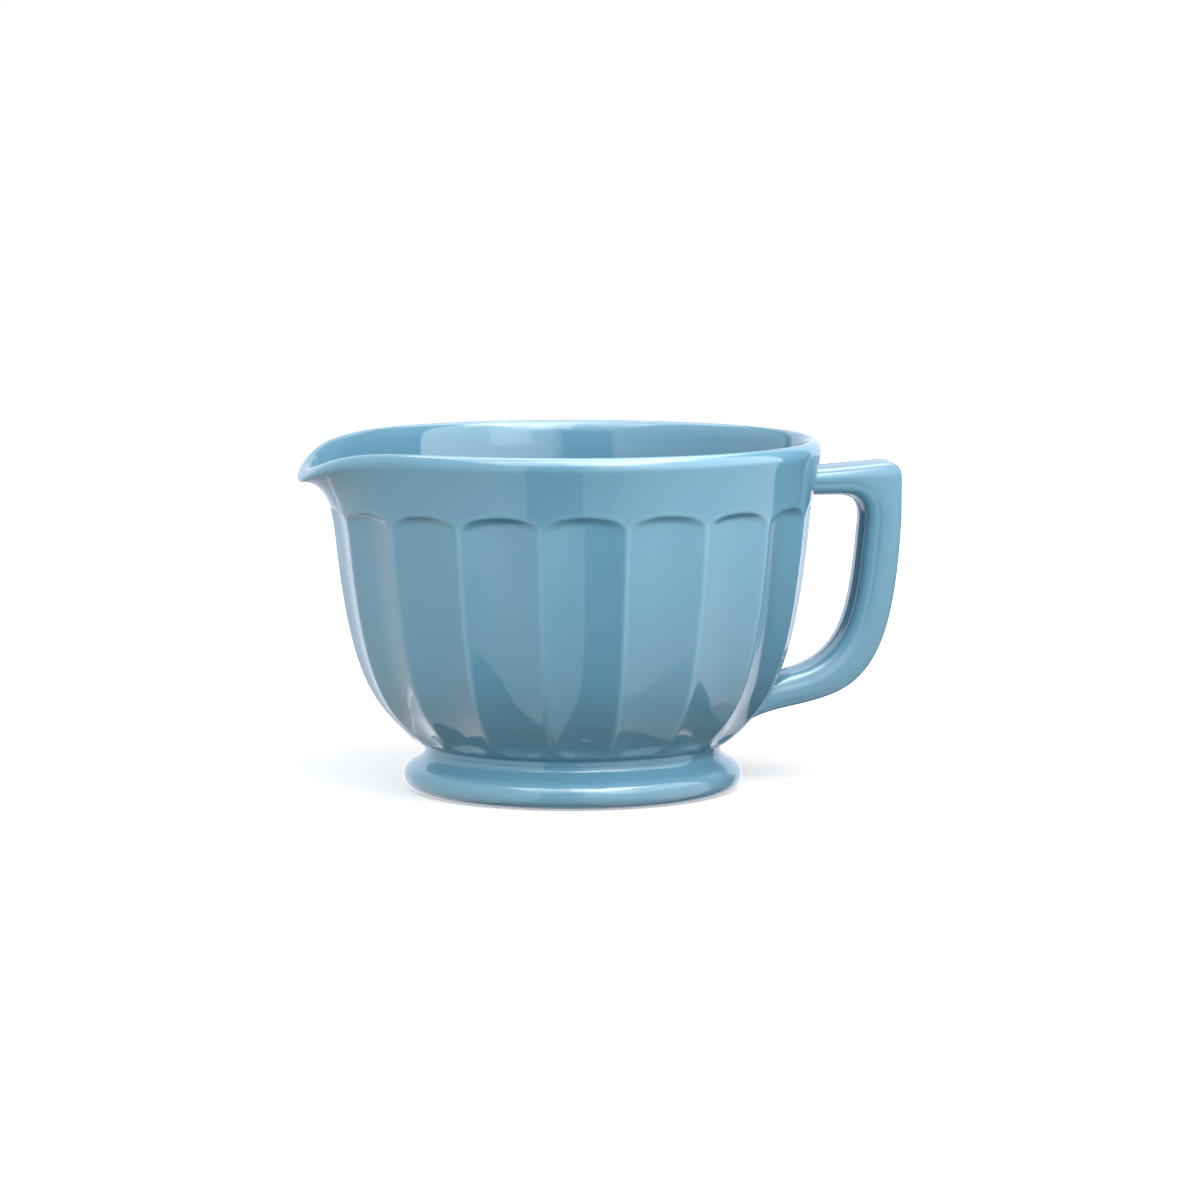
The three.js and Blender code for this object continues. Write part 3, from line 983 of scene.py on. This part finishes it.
@dataclass
class Studio:
    """Camera, soft panels, white surroundings and a pale table."""

    # Camera
    azimuth: float = -12.84
    distance: float = 1.8229
    height: float = 0.279
    aim_right: float = 0.01057
    aim_height: float = 0.0715
    focal_length: float = 143.89
    sensor: float = 36.0
    # Table
    table_size: float = 1.6
    table_level: float = -0.0002
    table_albedo: float = 0.8
    table_roughness: float = 0.9
    table_glow: Pair = (0.3, 1.0)
    table_fade: float = 1 / 3
    # Surroundings
    dim_surround: float = 0.1
    wall_white: float = 1.4
    wall_tint: Triple = (0.84, 0.89, 1.0)
    wall_edge: Pair = (0.77, 0.82)
    fill: Pair = (0.0, 0.28)
    fill_edge: Pair = (-0.3, 0.3)
    # Lights
    panels: tuple[Panel, ...] = (
        Panel("right_card", *RIGHT_RUN, -1.2, -0.2, (0.95, 0.9)),
        Panel("right_skirt", *RIGHT_RUN, -0.2, 0.13, (0.7, 1.75)),
        Panel("right_softbox", *RIGHT_RUN, 0.13, 1.0, (0.9, 4.2), 3.3),
        Panel("left_low_card", *LEFT_RUN, -1.1, -0.55, (1.2, 1.0)),
        Panel("left_card", *LEFT_RUN, -0.55, 0.05, (1.0, 1.6)),
        Panel("left_softbox", *LEFT_RUN, 0.05, 1.1, (0.7, 1.9), 1.6),
        Panel("front_softbox", (-0.45, -2.2), (0.55, -2.2), 0.0, 0.3, (0.0, 0.2), 16.2),
        Panel("front_canopy", (-1.0, -2.2), (1.0, -2.2), 1.25, 1.6, (0.0, 9.0), 0.0, 1.7),
        Panel("window", (0.02, -1.25), (0.50, -1.14), 0.9, 1.35, (4.0, 6.0), 0.0, 0.35),
        Panel("side_window", (0.52, -1.20), (0.98, -1.0), 0.55, 1.15, (2.0, 2.5), 0.0, 0.4),
        Panel("back_softbox", (0.7, 2.0), (-0.7, 2.0), 0.0, 1.0, (0.0, 0.0), 1.6),
        Panel("ceiling", (-1.0, -0.5), (1.0, -0.5), 1.6, 1.61, (5.0, 5.0), 0.0, 1.8),
    )
    overhead_size: float = 0.75
    overhead_place: Triple = (0.26, -0.27, 1.05)
    overhead_shine: float = 5.0
    overhead_cast: float = 0.1
    stand_size: float = 0.180
    stand_level: float = -0.0001
    stand_shine: float = 0.25
    cast_gap: float = 0.03

    @property
    def right(self) -> np.ndarray:
        """Unit vector to the camera's right."""
        turn = math.radians(self.azimuth)
        return np.array([math.cos(turn), math.sin(turn), 0.0])

    @property
    def forward(self) -> np.ndarray:
        """Unit vector from the camera to the bowl, level."""
        turn = math.radians(self.azimuth)
        return np.array([-math.sin(turn), math.cos(turn), 0.0])

    def place(self, right: float, forward: float, height: float) -> Vector:
        """A point in metres from the bowl's axis, in the camera's level directions."""
        axis = np.array([axis_mm() * MM, 0.0, 0.0])
        return Vector(axis + self.right * right + self.forward * forward + np.array([0.0, 0.0, height]))

    @staticmethod
    def aim(thing: bpy.types.Object, target: Vector) -> None:
        """Turns an object so that its -Z axis points at a target and its top stays up."""
        thing.rotation_euler = (target - thing.location).to_track_quat("-Z", "Y").to_euler()

    def build_camera(self) -> None:
        """Puts the camera where the photograph was taken from."""
        data = bpy.data.cameras.new("camera")
        data.lens = self.focal_length
        data.sensor_width = self.sensor
        camera = bpy.data.objects.new("camera", data)
        bpy.context.scene.collection.objects.link(camera)
        camera.location = self.place(0.0, -self.distance, self.height)
        self.aim(camera, self.place(self.aim_right, 0.0, self.aim_height))
        bpy.context.scene.camera = camera

    def add_light(self, lamp: Lamp, use: str, centre: Vector, radiance: Pair) -> bpy.types.Object:
        """Adds a flat light that the camera doesn't see.

        Args:
            lamp: The lamp that it belongs to.
            use: What it is for, as the end of its name.
            centre: Its middle.
            radiance: Brightness of its face at its two ends, where 1 looks white.

        Returns:
            The light's object.
        """
        name = f"{lamp.name}_{use}"
        data = bpy.data.lights.new(name, "AREA")
        data.shape, filled = lamp.outline.value
        data.size, data.size_y = lamp.size
        data.energy = math.pi * lamp.size[0] * lamp.size[1] * filled
        data.use_nodes = True
        tree = data.node_tree
        place = add_node(tree, "NewGeometry").outputs["Parametric"]
        along = add_node(tree, "SeparateXYZ", sources={"Vector": place}).outputs[lamp.grade.value]
        span = {"To Min": radiance[0], "To Max": radiance[1]}
        level = add_node(tree, "MapRange", span, {"Value": along}).outputs["Result"]
        wire(tree, tree.nodes["Emission"], {}, {"Strength": level})
        light = bpy.data.objects.new(name, data)
        bpy.context.scene.collection.objects.link(light)
        light.location = centre
        light.visible_camera = False
        self.aim(light, lamp.target)
        return light

    def hang(self, lamp: Lamp) -> None:
        """Adds a light for the gloss and one just behind it for matt surfaces, each if it is above 0."""
        if max(lamp.shine) > 0:
            gloss = self.add_light(lamp, "shine", lamp.centre, lamp.shine)
            gloss.visible_diffuse = False
        if lamp.cast > 0:
            behind = lamp.centre + (lamp.centre - lamp.target).normalized() * self.cast_gap
            matt = self.add_light(lamp, "cast", behind, (lamp.cast, lamp.cast))
            matt.visible_glossy = False

    def panel_lamp(self, panel: Panel) -> Lamp:
        """The lamp that a panel holds, facing square away from the panel.

        Args:
            panel: The panel.

        Returns:
            The lamp, placed round the bowl.
        """
        first = np.array(panel.first)
        second = np.array(panel.second)
        run = second - first
        facing = np.array([-run[1], run[0]]) / np.linalg.norm(run)
        middle = (first + second) / 2 + facing * panel.lean / 2
        level = (panel.bottom + panel.top) / 2
        rise = panel.top - panel.bottom
        size = (float(np.linalg.norm(run)), math.hypot(rise, panel.lean))
        target = self.place(*(middle + facing * rise), level - panel.lean)
        grade = Grade.UP if panel.lean else Grade.ACROSS
        return Lamp(panel.name, self.place(*middle, level), target, size, panel.shine, panel.cast, grade)

    def build_lights(self) -> None:
        """Stands the panels round the bowl, hangs the overhead light and lights the stand under the foot."""
        for panel in self.panels:
            self.hang(self.panel_lamp(panel))
        target = self.place(0.0, 0.0, self.aim_height)
        overhead = self.place(*self.overhead_place)
        size = (self.overhead_size, self.overhead_size)
        shine = (self.overhead_shine, self.overhead_shine)
        self.hang(Lamp("overhead", overhead, target, size, shine, self.overhead_cast))
        under = self.place(0.0, 0.0, self.stand_level)
        size = (self.stand_size, self.stand_size)
        shine = (self.stand_shine, self.stand_shine)
        self.hang(Lamp("stand", under, target, size, shine, outline=Outline.ROUND))

    @staticmethod
    def ramp(
        tree: bpy.types.NodeTree, source: bpy.types.NodeSocket, ends: Pair, levels: Pair
    ) -> bpy.types.NodeSocket:
        """Adds an S-shaped ramp from one level to the other as a source goes from end to end."""
        values = {"From Min": ends[0], "From Max": ends[1], "To Min": levels[0], "To Max": levels[1]}
        node = add_node(tree, "MapRange", values, {"Value": source}, interpolation_type="SMOOTHSTEP")
        return node.outputs["Result"]

    def build_world(self) -> None:
        """White surroundings for the camera, a white wall far behind for the gloss, a fill from above."""
        world = bpy.data.worlds.new("surroundings")
        bpy.context.scene.world = world
        world.use_nodes = True
        tree = world.node_tree
        place = add_node(tree, "TexCoord").outputs["Generated"]
        level = add_node(tree, "VectorMath", {1: (1.0, 1.0, 0.0)}, {0: place}, operation="MULTIPLY")
        bearing = add_node(tree, "VectorMath", {}, {0: level.outputs["Vector"]}, operation="NORMALIZE")
        axis = {1: tuple(self.forward)}
        depth = add_node(tree, "VectorMath", axis, {0: bearing.outputs["Vector"]}, operation="DOT_PRODUCT")
        wall = self.ramp(tree, depth.outputs["Value"], self.wall_edge, (self.dim_surround, self.wall_white))
        rise = add_node(tree, "SeparateXYZ", {}, {"Vector": place}).outputs["Z"]
        fill = self.ramp(tree, rise, self.fill_edge, self.fill)
        rays = add_node(tree, "LightPath").outputs
        tint = {"Color": (*self.wall_tint, 1.0)}
        gloss = add_node(tree, "Background", tint, {"Strength": wall}).outputs[0]
        matt = add_node(tree, "Background", {"Color": WHITE}, {"Strength": fill}).outputs[0]
        seen = wire(tree, tree.nodes["Background"], {"Color": WHITE}, {}).outputs[0]
        lit = add_node(tree, "MixShader", {}, {0: rays["Is Diffuse Ray"], 1: gloss, 2: matt}).outputs[0]
        both = add_node(tree, "MixShader", {}, {0: rays["Is Camera Ray"], 1: lit, 2: seen}).outputs[0]
        wire(tree, tree.nodes["World Output"], {}, {"Surface": both})

    def table_material(self) -> bpy.types.Material:
        """Pale matt table that glows for the camera, more with distance, until it meets the white around."""
        material = bpy.data.materials.new("pale_table")
        material.use_nodes = True
        tree = material.node_tree
        place = add_node(tree, "TexCoord").outputs["Object"]
        away = add_node(tree, "VectorMath", {}, {0: place}, operation="LENGTH").outputs["Value"]
        fade = self.ramp(tree, away, (0.0, self.table_size * self.table_fade), self.table_glow)
        camera = add_node(tree, "LightPath").outputs["Is Camera Ray"]
        glow = add_node(tree, "Math", {}, {0: camera, 1: fade}, operation="MULTIPLY").outputs["Value"]
        matt = {
            "Base Color": (self.table_albedo, self.table_albedo, self.table_albedo, 1.0),
            "Roughness": self.table_roughness,
            "Specular IOR Level": 0.0,
            "Emission Color": WHITE,
        }
        wire(tree, tree.nodes["Principled BSDF"], matt, {"Emission Strength": glow})
        return material

    def build_table(self) -> None:
        """Lays the table just under the foot. It shows to the camera and keeps the shadow."""
        corners = [(-1, -1), (1, -1), (1, 1), (-1, 1)]
        size = self.table_size
        points = [self.place(side * size, depth * size, self.table_level) for side, depth in corners]
        mesh = bpy.data.meshes.new("table")
        mesh.from_pydata([tuple(point) for point in points], [], [(0, 1, 2, 3)])
        mesh.materials.append(self.table_material())
        table = bpy.data.objects.new("table", mesh)
        bpy.context.scene.collection.objects.link(table)
        table.visible_glossy = False
        table.visible_diffuse = False

    def build(self) -> None:
        """Sets up the camera, the lights, the surroundings and the table."""
        self.build_camera()
        self.build_lights()
        self.build_world()
        self.build_table()
        bpy.context.scene.view_settings.view_transform = "Standard"


def main() -> None:
    """Builds the vessel piece by piece, then the studio round it."""
    logging.basicConfig(level=logging.INFO)
    glass = MilkGlass()
    bowl = Bowl()
    bowl.build(glass)
    PedestalFoot(bowl).build(glass)
    Handle(bowl).build(glass)
    Studio().build()


if __name__ == "__main__":
    main()
